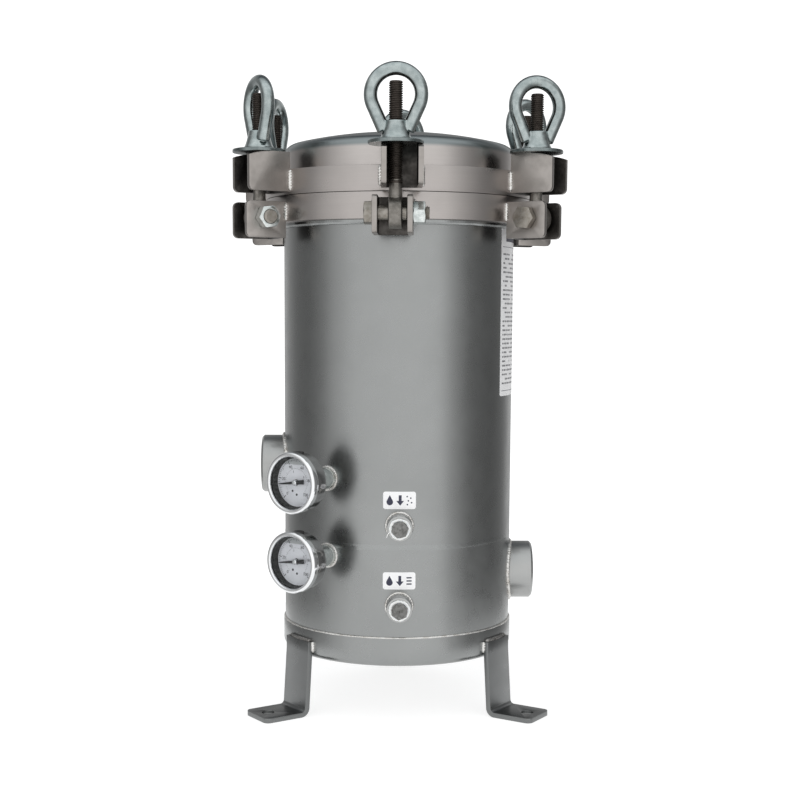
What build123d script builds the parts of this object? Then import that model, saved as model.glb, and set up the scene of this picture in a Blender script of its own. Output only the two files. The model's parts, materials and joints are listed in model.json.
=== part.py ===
from build123d import *
import os
from math import asin, cos, degrees, radians, sin, sqrt

# Cartridge filter housing: an upright welded stainless vessel on three legs, closed by a
# domed lid that six swing bolts with eye nuts hold down. Millimetres, +Z up.
# The origin is on the vessel's axis at floor level. The drains face -Y, which is the front.
# An azimuth is counted from the front towards +X, so the inlet is at -90 and the outlet at 90.

os.makedirs("parts", exist_ok=True)

# ---- vessel -------------------------------------------------------------------------------
shell_od = 228.6            # nine-inch shell
shell_wall = 3.0
floor_gap = 57.0            # floor to the underside of the base cap
cap_height = 28.0
cap_step = 1.5              # how far the base cap stands proud of the shell
cap_knuckle_r = 7.0
cap_floor = 4.5
lower_shell_length = 87.3   # clean chamber
upper_shell_length = 306.0  # dirty chamber
course_step = 15.0          # from the inlet's hole up to the joint of the upper shell's courses
tube_sheet_thickness = 6.0

# ---- flange, gasket and lid ---------------------------------------------------------------
ring_step = 17.4            # how far the body flange and the lid ring stand proud of the shell
flange_height = 24.5
lid_ring_height = 23.5
gasket_inset = 3.7          # from the bore of the flange to the gasket
gasket_width = 8.0
gasket_thickness = 3.2
gasket_proud = 0.4          # joint gap between the flange and the lid ring
lid_skirt = 19.0
lid_knuckle_r = 10.5
lid_crown_r = 448.0

# ---- swing bolts --------------------------------------------------------------------------
bolt_count = 6
bolt_r = 6.35               # half-inch thread
bolt_stand_off = 19.3       # from the rings to the bolts' axes
body_lug_azimuth = -3.0     # the clevises were welded on slightly turned from the drains
lid_lug_azimuth = 0.0
bolt_offset = 2.2           # each bolt's eye has floated this far along its clevis pin
pivot_drop = 60.4           # from the washer seat on the lid lugs down to the clevis pin
bolt_length = 115.1         # clevis pin to the bolt's end
eye_barrel_r = 14.0
eye_barrel_width = 12.7
hinge_clearance = 0.08      # radial, clevis pin in the bolt's eye
thread_clearance = 0.10     # radial, nuts and plugs on their threads
pin_hole_clearance = 0.4
washer_r = 25.0
washer_thickness = 3.2
washer_clearance = 0.4

# ---- lugs: channels open outward, their webs on the rings ----------------------------------
lug_leg = 4.9
lug_web = 4.1
lug_corner_r = 5.0
body_lug_width = 36.3
body_lug_height = 34.0
body_lug_drop = 18.8        # clevis pin to the lug's lower end
body_lug_reach = 19.5       # bolt axis to the lug's outer edge
lid_lug_width = 37.4
lid_lug_height = 36.6
lid_lug_reach = 21.5
swing_clearance = 0.4       # under the washer as its bolt swings out of the lid lug

# ---- clevis pins: half-inch hexagon bolts and nuts ------------------------------------------
hex_flats = 19.05
hex_head_height = 8.0
hex_nut_height = 11.1
pin_end = 3.5

# ---- eye nuts -------------------------------------------------------------------------------
eye_wire_r = 5.8
eye_loop_r = 22.7           # centreline of the loop's round top
eye_loop_height = 40.3      # nut base to the centre of that round top
eye_hub_r_base = 14.1
eye_hub_r_top = 9.2
eye_hub_height = 17.3
eye_hub_land = 2.2
eye_leg_spread = 10.5
eye_leg_height = 9.0
eye_turns = [0.0, -38.0, -75.0, -144.0, -163.0, 0.0]   # where each tight nut has stopped

# ---- ports ----------------------------------------------------------------------------------
port_r = 28.9               # one-and-a-half-inch pipe coupling
port_bore_r = 22.2
port_reach = 22.7
port_chamfer = 2.0
inlet_height = 240.8
outlet_height = 132.3
drain_r = 12.2              # three-eighths pipe coupling
drain_bore_r = 8.3
drain_reach = 20.2
dirty_drain_height = 193.5
clean_drain_height = 116.5
gauge_port_r = 10.5         # quarter-inch pipe coupling
gauge_port_bore_r = 6.2
gauge_port_reach = 20.0
gauge_azimuth = -37.0
dirty_gauge_height = 236.0
clean_gauge_height = 161.5

# ---- drain plugs ----------------------------------------------------------------------------
plug_thread_length = 14.0
plug_tape_thickness = 0.7
plug_tape_proud = 2.6       # tape that shows outside the coupling
plug_hex_flats = 14.3
plug_hex_height = 5.0

# ---- pressure gauges ------------------------------------------------------------------------
gauge_back = 33.5           # shell to the back of the case
gauge_depth = 22.2          # back of the case to the front of the bezel
case_r = 27.0
case_wall = 1.2
bezel_r = 29.0
bezel_bore_r = 24.6
bezel_depth = 7.5
bezel_lip = 2.0
lens_thickness = 2.0
dial_thickness = 0.8
dial_setback = 10.5         # bezel front to the dial's face
needle_setback = 7.4
needle_thickness = 0.5
needle_tip = 19.0
needle_tail = 9.5
needle_hub_r = 2.4
needle_bearing = 0.6
needle_rest = 185.0         # pointer direction on the dial at rest, counted from three o'clock
socket_flats = 14.0
socket_stem_r = 6.1
fill_plug_r = 5.0
fill_plug_height = 1.6
fill_plug_setback = 13.5

# ---- legs -----------------------------------------------------------------------------------
leg_azimuths = {"leg_left": -56.0, "leg_right": 56.0, "leg_rear": 180.0}
leg_width = 41.0
leg_thickness = 4.8
leg_top = 17.0              # weld length above the underside of the base cap
leg_kink = 5.0              # where the leg starts to splay, above the same underside
leg_splay = 3.5             # degrees
leg_seat = 0.9              # how deep the cap's round side is let into the leg
foot_length = 51.2          # from the base cap's side to the toe
foot_bend_r = 4.0
foot_corner_r = 6.0
foot_hole_r = 6.0
foot_hole_setback = 14.0    # from the toe to the hole

# ---- filter cartridge and its standpipe -------------------------------------------------------
cartridge_gap = 12.8        # between the pleats and the shell
cartridge_length = 245.0
pleat_count = 72
pleat_depth = 8.0
core_r = 33.0
core_wall = 2.5
core_slot_rows = 7
core_slots = 8
end_cap_thickness = 6.0
end_cap_rim = 9.0
end_cap_overhang = 1.5
spigot_r = 24.0
spigot_wall = 2.5
spigot_rise = 28.0
spigot_drop = 10.0
spigot_clearance = 0.3
cartridge_lift = 3.0        # bottom end cap's own seal between it and the tube sheet
tie_rod_r = 5.0
tie_rod_above_cap = 30.0
tie_bar_width = 12.0
tie_bar_height = 6.0
tie_nut_r = 16.0
tie_nut_height = 14.0
tie_nut_lobes = 6

# ---- derived places ---------------------------------------------------------------------------
shell_r = shell_od / 2
bore_r = shell_r - shell_wall
cap_r = shell_r + cap_step
ring_r = shell_r + ring_step
bolt_circle_r = ring_r + bolt_stand_off
gasket_r_in = bore_r + gasket_inset
cartridge_r = bore_r - cartridge_gap
foot_reach = cap_r + foot_length
foot_hole_circle_r = foot_reach - foot_hole_setback
cap_top = floor_gap + cap_height
seam_z = cap_top + lower_shell_length
flange_z = seam_z + upper_shell_length
course_z = inlet_height + port_r + course_step
joint_z = flange_z + flange_height
lid_z = joint_z + gasket_proud
lid_ring_top = lid_z + lid_ring_height
lid_lug_bottom = lid_z + 2.5
seat_z = lid_lug_bottom + lid_lug_height
pivot_z = seat_z - pivot_drop
bolt_top = pivot_z + bolt_length
nut_z = seat_z + washer_thickness
sheet_top = seam_z + tube_sheet_thickness
cartridge_z = sheet_top + cartridge_lift
cartridge_top = cartridge_z + cartridge_length
far = 400.0                 # longer than anything that a cut passes through


def write(name, *solids):
    """Writes one node, which may hold several solids."""
    shape = solids[0] if len(solids) == 1 else Compound(children=list(solids))
    export_step(shape, f"parts/{name}.step")


def turned(azimuth, shape):
    """Turns a shape drawn at the front to an azimuth."""
    return Rot(0, 0, azimuth) * shape


def around(azimuth, shape):
    """Copies of a shape drawn at the front, one for each swing bolt."""
    step = 360 / bolt_count
    return [turned(azimuth + i * step, shape) for i in range(bolt_count)]


def tube(r_out, r_in, z_low, z_high):
    """An upright tube on the vessel's axis."""
    height = z_high - z_low
    ring = Cylinder(r_out, height) - Cylinder(r_in, height)
    return Pos(0, 0, z_low + height / 2) * ring


def rod(r, z_low, z_high):
    """An upright rod on the local axis."""
    return Pos(0, 0, (z_low + z_high) / 2) * Cylinder(r, z_high - z_low)


def hexagon(flats, z_low, z_high):
    """An upright hexagonal prism, chamfered at its upper end as a turned nut is."""
    corner_r = flats / sqrt(3)
    prism = Pos(0, 0, z_low) * extrude(RegularPolygon(corner_r, 6), z_high - z_low)
    drop = (corner_r - flats / 2) * 0.55
    crown = Pos(0, 0, z_high - drop / 2) * Cone(corner_r, corner_r - drop * 1.7, drop)
    body = Pos(0, 0, (z_low + z_high - drop) / 2) * Cylinder(corner_r, z_high - drop - z_low)
    return prism & (body + crown)


def outward(azimuth, height, radius=0.0):
    """A plane across a radial line: its Z points away from the vessel, its Y points up."""
    a = radians(azimuth)
    out = (sin(a), -cos(a), 0)
    origin = (radius * out[0], radius * out[1], height)
    return Plane(origin=origin, x_dir=(cos(a), sin(a), 0), z_dir=out)


# ---- welded vessel ----------------------------------------------------------------------------
def base_cap():
    """The dished bottom: a flat floor, a small knuckle and a short straight side."""
    outer = rod(cap_r, floor_gap, cap_top)
    outer = fillet(outer.edges().sort_by(Axis.Z)[0], cap_knuckle_r)
    hollow = rod(bore_r, floor_gap + cap_floor, cap_top + 1)
    hollow = fillet(hollow.edges().sort_by(Axis.Z)[0], cap_knuckle_r - cap_floor / 2)
    return outer - hollow


def port_hole(azimuth, height, radius):
    """A round hole through the shell, from outside to the axis."""
    return outward(azimuth, height) * rod(radius, 0, far)


def lower_shell():
    shell = tube(shell_r, bore_r, cap_top, seam_z)
    shell -= port_hole(90, outlet_height, port_r)
    shell -= port_hole(0, clean_drain_height, drain_r)
    return shell - port_hole(gauge_azimuth, clean_gauge_height, gauge_port_r)


def upper_shell():
    """Two rolled courses, butted: the low one holds every port, and the high one is plain."""
    low = tube(shell_r, bore_r, seam_z, course_z)
    low -= port_hole(-90, inlet_height, port_r)
    low -= port_hole(0, dirty_drain_height, drain_r)
    low -= port_hole(gauge_azimuth, dirty_gauge_height, gauge_port_r)
    return low, tube(shell_r, bore_r, course_z, flange_z)


def tube_sheet():
    """The plate between the chambers, set inside the foot of the upper shell."""
    return tube(bore_r, spigot_r, seam_z, sheet_top)


def coupling(azimuth, height, r_out, r_bore, reach, chamfered=0.5):
    """A pipe coupling set through the shell and flush with its inside."""
    body = rod(r_out, 0, shell_r + reach)
    body = chamfer(body.edges().sort_by(Axis.Z)[-1], chamfered)
    body -= rod(r_bore, -1, far)
    return outward(azimuth, height) * body - rod(bore_r, 0, far * 2)


def leg(azimuth):
    """A strip welded to the side of the cap, splayed a little, with its end bent into a foot."""
    inner = cap_r - leg_seat
    outer = inner + leg_thickness
    kink_z = floor_gap + leg_kink
    run = kink_z * sin(radians(leg_splay)) / cos(radians(leg_splay))
    top_z = floor_gap + leg_top
    corners = [
        (inner, top_z),
        (outer, top_z),
        (outer, kink_z),
        (outer + run, leg_thickness),
        (foot_reach, leg_thickness),
        (foot_reach, 0),
        (inner + run, 0),
        (inner, kink_z),
    ]
    outline = make_face(Polyline(*corners, close=True))
    inside_bend = outline.vertices().sort_by_distance((outer + run, leg_thickness))[0]
    outline = fillet(inside_bend, foot_bend_r)
    outside_bend = outline.vertices().sort_by_distance((inner + run, 0))[0]
    outline = fillet(outside_bend, foot_bend_r + leg_thickness)
    strip = extrude(Plane.YZ * outline, leg_width / 2, both=True)
    strip = Rot(0, 0, 180) * strip
    toes = [e for e in strip.edges().filter_by(Axis.Z) if abs(e.center().Y + foot_reach) < 0.1]
    strip = fillet(toes, foot_corner_r)
    strip -= Pos(0, -foot_hole_circle_r, 0) * Cylinder(foot_hole_r, 4 * leg_thickness)
    strip -= rod(cap_r, floor_gap, far)
    return turned(azimuth, strip)


# ---- flange, gasket and lid -----------------------------------------------------------------
def body_flange():
    """The ring on top of the shell, with a groove for the gasket."""
    ring = tube(ring_r, bore_r, flange_z, joint_z)
    gasket_floor = joint_z + gasket_proud - gasket_thickness
    groove = tube(gasket_r_in + gasket_width, gasket_r_in, gasket_floor, joint_z + 1)
    return ring - groove


def lid_gasket():
    low = lid_z - gasket_thickness
    return tube(gasket_r_in + gasket_width, gasket_r_in, low, lid_z)


def lid_ring():
    return tube(ring_r, bore_r, lid_z, lid_ring_top)


def dish(r_out, knuckle_r, crown_r, z_low, z_knuckle):
    """A solid head: a straight skirt, a knuckle and a shallow crown, turned about the axis."""
    knuckle_x = r_out - knuckle_r
    crown_z = z_knuckle - sqrt((crown_r - knuckle_r) ** 2 - knuckle_x ** 2)
    lean = asin(knuckle_x / (crown_r - knuckle_r))
    joint = (crown_r * sin(lean), crown_z + crown_r * cos(lean))
    half = (lean + radians(90)) / 2
    middle = (knuckle_x + knuckle_r * sin(half), z_knuckle + knuckle_r * cos(half))
    top = (0, crown_z + crown_r)
    over = (crown_r * sin(lean / 2), crown_z + crown_r * cos(lean / 2))
    sides = Polyline((0, z_low), (r_out, z_low), (r_out, z_knuckle))
    knuckle = ThreePointArc((r_out, z_knuckle), middle, joint)
    crown = ThreePointArc(joint, over, top)
    axis = Line(top, (0, z_low))
    return revolve(Plane.XZ * make_face(sides + knuckle + crown + axis), Axis.Z)


def lid_dome():
    z_knuckle = lid_ring_top + lid_skirt
    outside = dish(shell_r, lid_knuckle_r, lid_crown_r, lid_ring_top, z_knuckle)
    inner_knuckle = lid_knuckle_r - shell_wall
    inside = dish(bore_r, inner_knuckle, lid_crown_r - shell_wall, lid_ring_top - 1, z_knuckle)
    return outside - inside


# ---- lugs -----------------------------------------------------------------------------------
def channel(width, z_low, z_high, reach):
    """A channel open outward, its web let onto the round side of its ring."""
    outer_edge = bolt_circle_r + reach
    depth = outer_edge - ring_r + 4
    centre_y = -(outer_edge - depth / 2)
    height = z_high - z_low
    block = Pos(0, centre_y, (z_low + z_high) / 2) * Box(width, depth, height)
    corners = [e for e in block.edges().filter_by(Axis.X) if e.center().Y < centre_y]
    block = fillet(corners, lug_corner_r)
    slot_in = ring_r + lug_web
    slot_depth = far - slot_in
    slot = Pos(0, -(slot_in + slot_depth / 2), (z_low + z_high) / 2)
    block -= slot * Box(width - 2 * lug_leg, slot_depth, height + 2)
    return block - rod(ring_r, z_low - 1, z_high + 1)


def body_lug():
    """A clevis for one swing bolt's pin."""
    low = pivot_z - body_lug_drop
    lug = channel(body_lug_width, low, low + body_lug_height, body_lug_reach)
    hole = Rot(0, 90, 0) * Cylinder(bolt_r + pin_hole_clearance, body_lug_width * 2)
    return lug - Pos(0, -bolt_circle_r, pivot_z) * hole


def lid_lug():
    """A seat for one washer. Past the bolt its top falls away round the clevis pin's axis."""
    lug = channel(lid_lug_width, lid_lug_bottom, seat_z, lid_lug_reach)
    swing_r = pivot_drop - swing_clearance
    keep = Rot(0, 90, 0) * Cylinder(swing_r, lid_lug_width * 2)
    keep = Pos(0, -bolt_circle_r, pivot_z) * keep
    block_width = lid_lug_width * 2
    outer = Pos(0, -bolt_circle_r - far / 2, seat_z) * Box(block_width, far, lid_lug_height * 2)
    return lug - (outer - keep)


# ---- swing bolts, clevis pins, washers and eye nuts -------------------------------------------
def clevis_pin():
    """A hexagon bolt across a clevis: its head on the left, seen from outside."""
    half = body_lug_width / 2
    end = half + hex_nut_height + pin_end
    shank = chamfer(rod(bolt_r, -half, end).edges().sort_by(Axis.Z)[-1], 1.0)
    head = Rot(180, 0, 0) * hexagon(hex_flats, half, half + hex_head_height)
    return Pos(0, -bolt_circle_r, pivot_z) * (Rot(0, 90, 0) * (shank + head))


def clevis_nut():
    half = body_lug_width / 2
    nut = hexagon(hex_flats, half, half + hex_nut_height)
    nut -= rod(bolt_r + thread_clearance / 2, 0, far)
    return Pos(0, -bolt_circle_r, pivot_z) * (Rot(0, 90, 0) * nut)


def swing_bolt():
    """A bolt with a flat round eye on the clevis pin."""
    barrel = Rot(0, 90, 0) * Cylinder(eye_barrel_r, eye_barrel_width)
    shank = rod(bolt_r, eye_barrel_r * 0.6, bolt_length)
    shank = chamfer(shank.edges().sort_by(Axis.Z)[-1], 1.2)
    hole_r = bolt_r + hinge_clearance
    bolt = barrel + shank - Rot(0, 90, 0) * Cylinder(hole_r, eye_barrel_width * 2)
    return Pos(bolt_offset, -bolt_circle_r, pivot_z) * bolt


def washer():
    ring = Cylinder(washer_r, washer_thickness)
    ring -= Cylinder(bolt_r + washer_clearance, washer_thickness)
    return Pos(bolt_offset, -bolt_circle_r, seat_z + washer_thickness / 2) * ring


def eye_loop():
    """The pear-shaped loop: two straight legs that run tangent into a round top."""
    foot = (eye_leg_spread, eye_leg_height)
    to_centre = (-foot[0], eye_loop_height - foot[1])
    distance = sqrt(to_centre[0] ** 2 + to_centre[1] ** 2)
    lean = degrees(asin(eye_loop_r / distance)) - degrees(asin(eye_leg_spread / distance))
    x = eye_loop_r * cos(radians(lean))
    z = eye_loop_height - eye_loop_r * sin(radians(lean))
    right = Line(foot, (x, z))
    top = ThreePointArc((x, z), (0, eye_loop_height + eye_loop_r), (-x, z))
    left = Line((-x, z), (-foot[0], foot[1]))
    path = Plane.XZ * (right + top + left)
    start = path.edges().sort_by_distance((foot[0], 0, foot[1]))[0]
    section = Plane(origin=start @ 0, z_dir=start % 0) * Circle(eye_wire_r)
    return sweep(section, path=path)


def eye_nut(turn):
    """A conical hub with a lifting eye, stopped at its own angle when tight."""
    cone_height = eye_hub_height - eye_hub_land
    hub = rod(eye_hub_r_base, 0, eye_hub_land)
    hub += Pos(0, 0, eye_hub_land + cone_height / 2) * Cone(eye_hub_r_base, eye_hub_r_top, cone_height)
    nut = hub + eye_loop() - rod(bolt_r + thread_clearance, -1, eye_loop_height)
    return Pos(bolt_offset, -bolt_circle_r, nut_z) * (Rot(0, 0, turn) * nut)


# ---- drain plugs ------------------------------------------------------------------------------
def drain_tape(height):
    """Sealing tape wound on the plug's thread. It lines the coupling's thread."""
    r_out = drain_bore_r - thread_clearance
    end = shell_r + drain_reach + plug_tape_proud
    start = end - plug_thread_length
    wrap = rod(r_out, start, end) - rod(r_out - plug_tape_thickness, 0, far)
    return outward(0, height) * wrap


def drain_plug(height):
    """A plug with a low hexagon head."""
    thread_r = drain_bore_r - thread_clearance * 2 - plug_tape_thickness
    end = shell_r + drain_reach + plug_tape_proud
    plug = rod(thread_r, end - plug_thread_length, end)
    plug += hexagon(plug_hex_flats, end, end + plug_hex_height)
    return outward(0, height) * plug


# ---- pressure gauges: each is drawn with its Z pointing away from the vessel -------------------
def gauge_plane(height):
    return outward(gauge_azimuth, height, shell_r)


gauge_front = gauge_back + gauge_depth
case_front = gauge_front - bezel_lip - lens_thickness


def gauge_case():
    """A plain can, open at the front, with a hole at the back for the socket."""
    can = rod(case_r, gauge_back, case_front)
    can = fillet(can.edges().sort_by(Axis.Z)[0], 2.0)
    can -= rod(case_r - case_wall, gauge_back + case_wall, far)
    can -= rod(socket_stem_r, 0, far)
    top = Pos(0, case_r, gauge_front - fill_plug_setback) * (Rot(90, 0, 0) * Cylinder(fill_plug_r, 6))
    return can - top


def gauge_bezel():
    """A rolled ring over the front of the can, holding the lens by its lip."""
    ring = rod(bezel_r, gauge_front - bezel_depth, gauge_front)
    ring = fillet(ring.edges().sort_by(Axis.Z)[-1], 1.8)
    ring -= rod(case_r, 0, gauge_front - bezel_lip)
    return ring - rod(bezel_bore_r, 0, far)


def gauge_lens():
    return rod(case_r, case_front, case_front + lens_thickness)


def gauge_dial():
    face = gauge_front - dial_setback
    disc = rod(case_r - case_wall, face - dial_thickness, face)
    return disc - rod(needle_hub_r + needle_bearing, 0, far)


def gauge_needle():
    """A tapered pointer with a broad tail, on a spindle through the dial."""
    mid = gauge_front - needle_setback
    blade = make_face(Polyline((needle_tip, 0), (0, 1.3), (-needle_tail, 1.9), (-needle_tail, -1.9),
                               (0, -1.3), close=True))
    pointer = Pos(0, 0, mid) * extrude(blade, needle_thickness / 2, both=True)
    spindle = rod(needle_hub_r, gauge_front - dial_setback - 3, mid + needle_thickness)
    return Rot(0, 0, needle_rest) * (pointer + spindle)


def gauge_socket():
    """The threaded stem in the coupling, its hexagon, and the tube that carries the movement."""
    hex_start = gauge_port_reach + 0.6
    stem = rod(gauge_port_bore_r - thread_clearance, gauge_port_reach - 10, hex_start)
    grip = hexagon(socket_flats, hex_start, gauge_back)
    carrier = rod(socket_stem_r, gauge_back, gauge_front - dial_setback - dial_thickness - 3)
    return stem + grip + carrier


def gauge_fill_plug():
    """A rubber plug in the top of the can."""
    button = Rot(-90, 0, 0) * rod(fill_plug_r, case_r - case_wall, case_r + fill_plug_height)
    return Pos(0, 0, gauge_front - fill_plug_setback) * button


# ---- filter cartridge -------------------------------------------------------------------------
def cartridge_media():
    """Pleated paper between the two end caps."""
    outline = []
    for i in range(2 * pleat_count):
        angle = radians(i * 180 / pleat_count)
        r = cartridge_r - pleat_depth * (i % 2)
        outline.append((r * cos(angle), r * sin(angle)))
    pleats = make_face(Polyline(*outline, close=True)) - Circle(core_r)
    low = cartridge_z + end_cap_thickness
    return Pos(0, 0, low) * extrude(pleats, cartridge_length - 2 * end_cap_thickness)


def cartridge_core():
    """The perforated tube that holds the pleats up."""
    low = cartridge_z + end_cap_thickness
    high = cartridge_top - end_cap_thickness
    core = tube(core_r, core_r - core_wall, low, high)
    pitch = (high - low) / core_slot_rows
    for row in range(core_slot_rows):
        z = low + pitch * (row + 0.5)
        for k in range(core_slots // 2):
            slot = Pos(0, 0, z) * Box(far / 4, 8, pitch * 0.55)
            core -= Rot(0, 0, k * 360 / core_slots) * slot
    return core


def cartridge_end_cap(z_low, cup_up, hole_r):
    """A moulded cap with a rim round the pleats."""
    r = cartridge_r + end_cap_overhang
    plate = tube(r, hole_r, z_low, z_low + end_cap_thickness)
    rim_low = z_low + end_cap_thickness if cup_up else z_low - end_cap_rim
    rim = tube(r, cartridge_r, rim_low, rim_low + end_cap_rim)
    return plate + rim


def outlet_spigot():
    """The standpipe through the tube sheet that the cartridge drops over."""
    return tube(spigot_r, spigot_r - spigot_wall, seam_z - spigot_drop, sheet_top + spigot_rise)


def tie_rod():
    """A rod on a bar across the standpipe."""
    bar_z = seam_z
    bar = Pos(0, 0, bar_z) * Box(2 * spigot_r, tie_bar_width, tie_bar_height)
    bar &= rod(spigot_r - spigot_wall, 0, far * 2)
    return bar + rod(tie_rod_r, bar_z, cartridge_top + tie_rod_above_cap)


def tie_nut():
    """A lobed hand nut that holds the cartridge down."""
    nut = rod(tie_nut_r, cartridge_top, cartridge_top + tie_nut_height)
    for i in range(tie_nut_lobes):
        notch = Pos(tie_nut_r + 1.5, 0, cartridge_top) * Cylinder(4.5, far / 2)
        nut -= Rot(0, 0, i * 360 / tie_nut_lobes) * notch
    return nut - rod(tie_rod_r + thread_clearance / 2, 0, far * 2)


# ---- the nodes --------------------------------------------------------------------------------
write("base_cap", base_cap())
write("lower_shell", lower_shell())
write("upper_shell", *upper_shell())
write("tube_sheet", tube_sheet())
write("body_flange", body_flange())
write("lid_gasket", lid_gasket())
write("lid_ring", lid_ring())
write("lid_dome", lid_dome())
for name, azimuth in leg_azimuths.items():
    write(name, leg(azimuth))

write("inlet_coupling", coupling(-90, inlet_height, port_r, port_bore_r, port_reach, port_chamfer))
write("outlet_coupling", coupling(90, outlet_height, port_r, port_bore_r, port_reach, port_chamfer))
drain_heights = {"dirty": dirty_drain_height, "clean": clean_drain_height}
gauge_heights = {"dirty": dirty_gauge_height, "clean": clean_gauge_height}
write("drain_couplings", *[coupling(0, z, drain_r, drain_bore_r, drain_reach)
                           for z in drain_heights.values()])
write("gauge_couplings", *[coupling(gauge_azimuth, z, gauge_port_r, gauge_port_bore_r,
                                    gauge_port_reach) for z in gauge_heights.values()])

write("body_lugs", *around(body_lug_azimuth, body_lug()))
write("lid_lugs", *around(lid_lug_azimuth, lid_lug()))
write("clevis_bolts", *around(body_lug_azimuth, clevis_pin()))
write("clevis_nuts", *around(body_lug_azimuth, clevis_nut()))
bolts = around(body_lug_azimuth, swing_bolt())
washers = around(body_lug_azimuth, washer())
for i in range(bolt_count):
    write(f"swing_bolt_{i + 1}", bolts[i])
    write(f"washer_{i + 1}", washers[i])
    azimuth = body_lug_azimuth + i * 360 / bolt_count
    write(f"eye_nut_{i + 1}", turned(azimuth, eye_nut(eye_turns[i])))

for chamber, height in drain_heights.items():
    write(f"{chamber}_drain_tape", drain_tape(height))
    write(f"{chamber}_drain_plug", drain_plug(height))
for chamber, height in gauge_heights.items():
    write(f"{chamber}_gauge_case", gauge_plane(height) * gauge_case())
    write(f"{chamber}_gauge_bezel", gauge_plane(height) * gauge_bezel())
    write(f"{chamber}_gauge_lens", gauge_plane(height) * gauge_lens())
    write(f"{chamber}_gauge_dial", gauge_plane(height) * gauge_dial())
    write(f"{chamber}_gauge_needle", gauge_plane(height) * gauge_needle())
write("gauge_sockets", *[gauge_plane(z) * gauge_socket() for z in gauge_heights.values()])
write("gauge_fill_plugs", *[gauge_plane(z) * gauge_fill_plug() for z in gauge_heights.values()])

write("cartridge_media", cartridge_media())
write("cartridge_core", cartridge_core())
write("cartridge_end_caps",
      cartridge_end_cap(cartridge_z, True, spigot_r + spigot_clearance),
      cartridge_end_cap(cartridge_top - end_cap_thickness, False, tie_rod_r + spigot_clearance))
write("outlet_spigot", outlet_spigot())
write("tie_rod", tie_rod())
write("tie_nut", tie_nut())
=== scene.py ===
import json
import random
from math import atan2, cos, degrees, hypot, pi, radians, sin, sqrt, tan
import bmesh
import bpy
from mathutils import Matrix, Vector


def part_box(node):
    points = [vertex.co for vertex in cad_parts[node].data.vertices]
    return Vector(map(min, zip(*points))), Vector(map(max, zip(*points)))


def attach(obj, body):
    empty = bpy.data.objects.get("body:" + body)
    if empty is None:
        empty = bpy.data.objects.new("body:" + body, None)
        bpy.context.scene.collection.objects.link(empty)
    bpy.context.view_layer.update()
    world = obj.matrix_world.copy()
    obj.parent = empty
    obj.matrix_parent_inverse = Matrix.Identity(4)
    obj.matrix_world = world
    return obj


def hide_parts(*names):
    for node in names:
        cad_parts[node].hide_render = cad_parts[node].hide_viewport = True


# Cartridge filter housing. Shapes are drawn in millimetres and placed in metres by the frame.
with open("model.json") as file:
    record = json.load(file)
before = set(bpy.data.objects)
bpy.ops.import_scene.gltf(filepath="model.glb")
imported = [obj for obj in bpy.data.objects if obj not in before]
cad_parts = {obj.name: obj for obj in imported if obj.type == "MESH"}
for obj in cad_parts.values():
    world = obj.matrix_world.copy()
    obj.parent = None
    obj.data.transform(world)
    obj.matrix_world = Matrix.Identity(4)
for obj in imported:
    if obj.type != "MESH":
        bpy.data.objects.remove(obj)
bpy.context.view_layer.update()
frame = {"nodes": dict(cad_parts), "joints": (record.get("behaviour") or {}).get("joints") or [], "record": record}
random.seed(7)

mm = 0.001
to_metres = Matrix.Scale(mm, 4)
joints = {joint["name"]: joint for joint in frame["joints"]}
mounts = {mount["name"]: mount for mount in frame["record"]["mounts"]}
nodes = frame["nodes"]
chambers = ("dirty", "clean")
leg_sides = ("left", "right", "rear")
bolt_numbers = range(1, 7)


# Where things are


def low(node):
    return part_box(node)[0] / mm


def high(node):
    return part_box(node)[1] / mm


def direction(vector):
    return atan2(vector[1], vector[0])


shell_r = high("upper_shell").x
flange_z = high("upper_shell").z
seam_z = low("upper_shell").z
floor_gap = low("base_cap").z
cap_r = high("base_cap").x
cap_top = high("base_cap").z
ring_r = high("body_flange").x
joint_z = high("body_flange").z
lid_z = low("lid_ring").z
lid_ring_top = high("lid_ring").z
skirt_top = lid_ring_top + 19.0
washer_low = low("washer_1").z
washer_top = high("washer_1").z
body_lug_azimuth = direction(joints["bolt_1_swing"]["axis"])
body_lug_half = 36.3 / 2
lid_lug_half = 37.4 / 2
lug_leg = 4.9


def facing(height, out):
    """A frame in millimetres at a height in metres: Z points out of the vessel, Y up, X to the right."""
    z = Vector(out).normalized()
    x = Vector((0, 0, 1)).cross(z).normalized()
    turn = Matrix((x, z.cross(x), z)).transposed().to_4x4()
    return Matrix.Translation((0, 0, height)) @ turn @ to_metres


def upright(origin, turn):
    """An upright local frame in millimetres at a point, turned about Z in radians."""
    return Matrix.Translation(Vector(origin) * mm) @ Matrix.Rotation(turn, 4, "Z") @ to_metres


def around(azimuth):
    """The vessel's own frame in millimetres, turned from the front to an azimuth in degrees."""
    return upright((0, 0, 0), radians(azimuth))


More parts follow.
